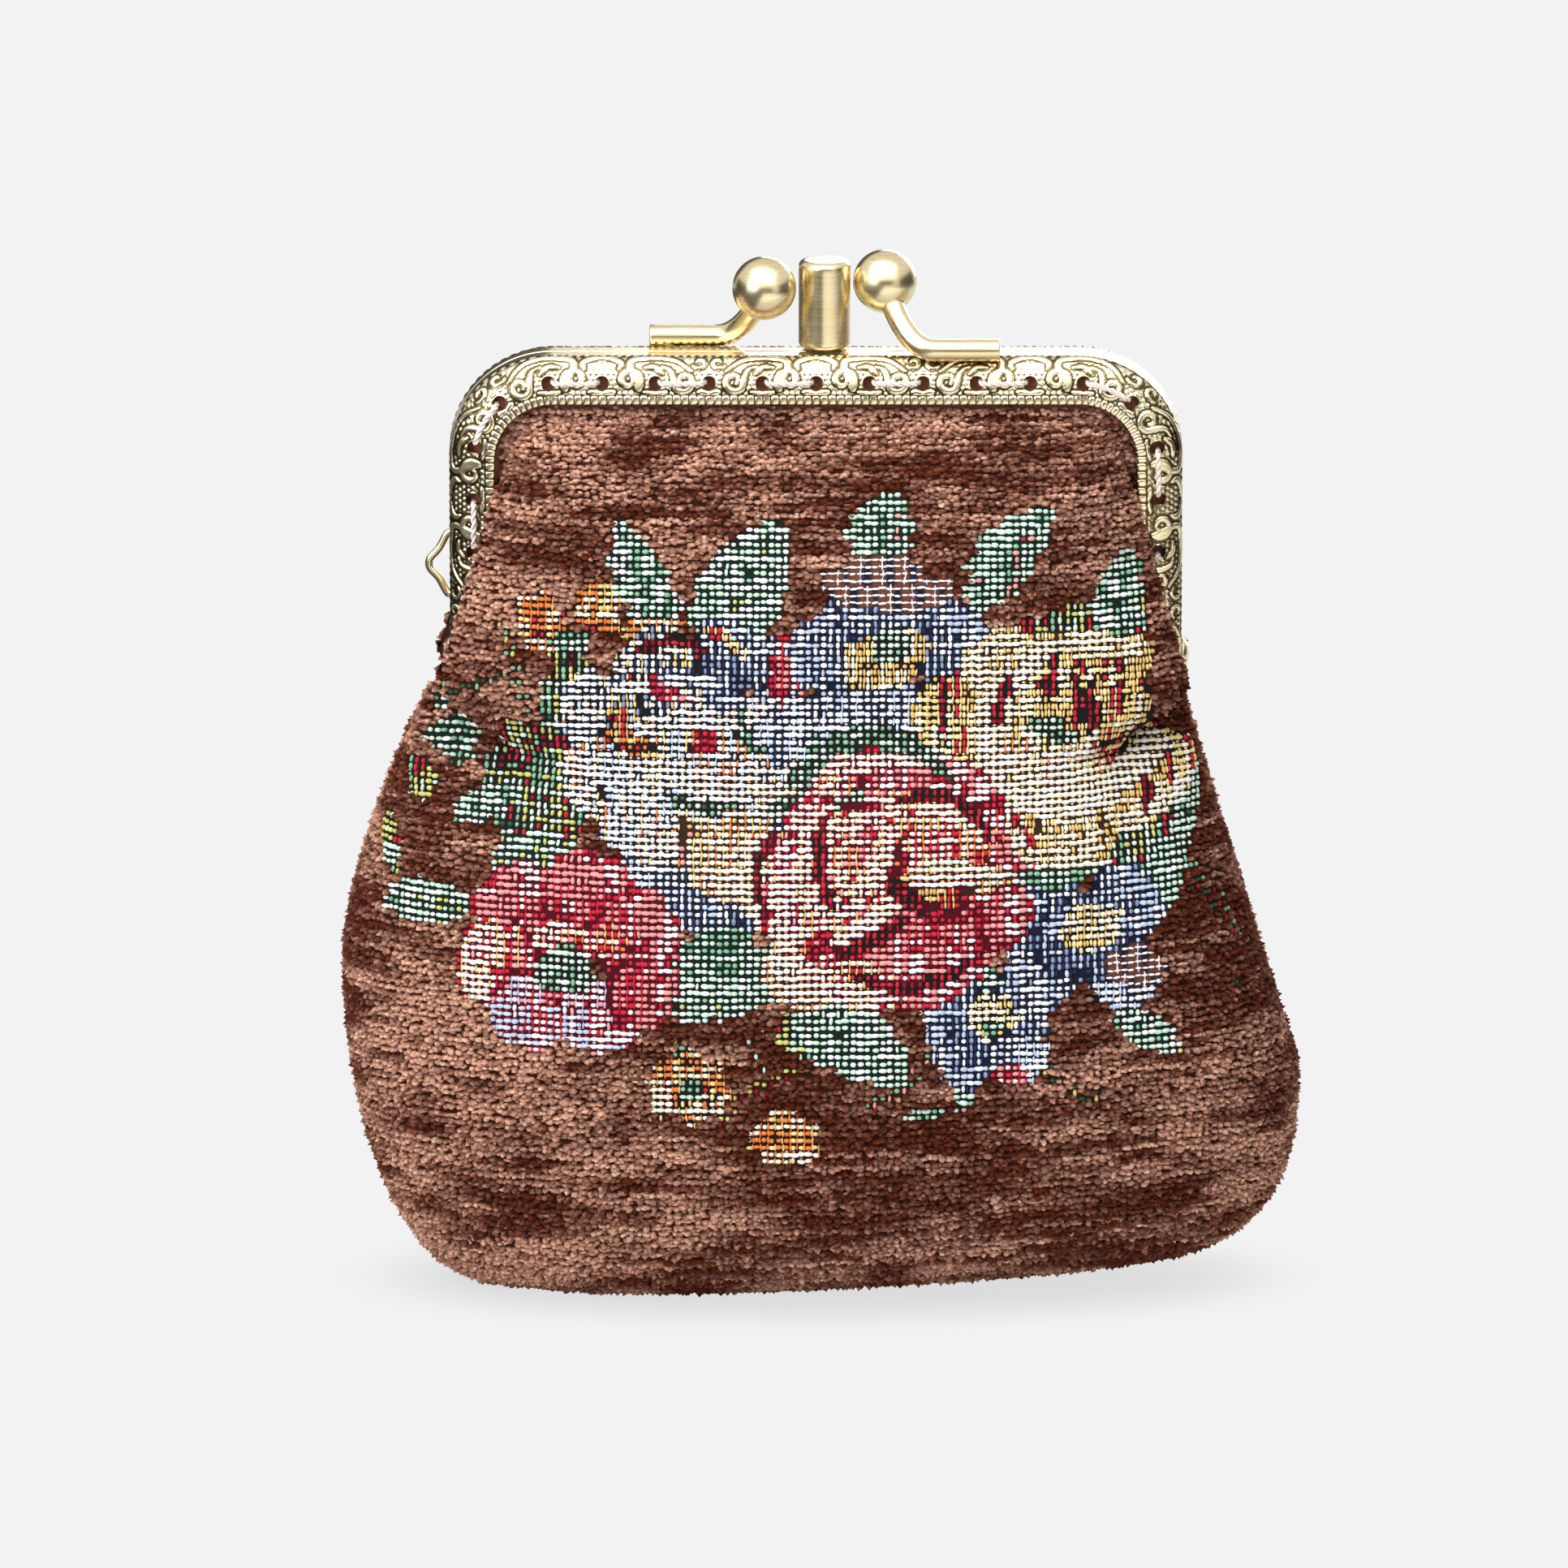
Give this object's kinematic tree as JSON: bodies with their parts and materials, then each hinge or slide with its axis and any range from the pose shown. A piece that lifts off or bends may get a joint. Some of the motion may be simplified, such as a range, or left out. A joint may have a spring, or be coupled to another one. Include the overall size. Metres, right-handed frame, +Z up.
{
  "type": "coin purse",
  "caption": "Plump chenille coin purse sewn to a riveted brass kiss-lock frame that swings open and snaps shut on a ball clasp.",
  "frame": {"origin": "under the middle of the purse, on the surface it stands on", "axes": "+Z up, +X to the right seen from the front, front towards -Y; the hinge axis is along X"},
  "size_m": [0.1118, 0.0438, 0.1226],
  "materials": {
    "antique_brass": "stamped and embossed antique brass, dark in the recesses",
    "polished_brass": "brushed and lightly polished brass",
    "thread": "two-ply off-white sewing thread",
    "chenille": "brown chenille with a woven floral bouquet",
    "lining": "plain woven cotton lining"
  },
  "bodies": {
    "pouch": {"front_panel_lower": "chenille", "back_panel_lower": "chenille", "front_lining_lower": "lining", "back_lining_lower": "lining"},
    "front_half": {"front_frame": "antique_brass", "front_clasp_stem": "polished_brass", "front_clasp_ball": "polished_brass", "front_stitching": "thread", "front_panel_upper": "chenille", "front_lining_upper": "lining"},
    "back_half": {"back_frame": "antique_brass", "back_clasp_stem": "polished_brass", "back_clasp_ball": "polished_brass", "clasp_post": "polished_brass", "left_hinge_rivet": "antique_brass", "right_hinge_rivet": "antique_brass", "chain_loop": "antique_brass", "back_stitching": "thread", "back_panel_upper": "chenille", "back_lining_upper": "lining"}
  },
  "joints": [
    {"name": "front_hinge", "type": "hinge", "parent": "pouch", "child": "front_half", "pos_m": [0, 0, 0.075], "axis": [1, 0, 0], "range_deg": [0, 45], "deforming": ["front_panel_upper", "front_lining_upper"]},
    {"name": "back_hinge", "type": "hinge", "parent": "pouch", "child": "back_half", "pos_m": [0, 0, 0.075], "axis": [1, 0, 0], "range_deg": [-45, 0], "deforming": ["back_panel_upper", "back_lining_upper"]}
  ],
  "couplings": [
    {"joint": "back_hinge", "follows": "front_hinge", "ratio": -1}
  ]
}
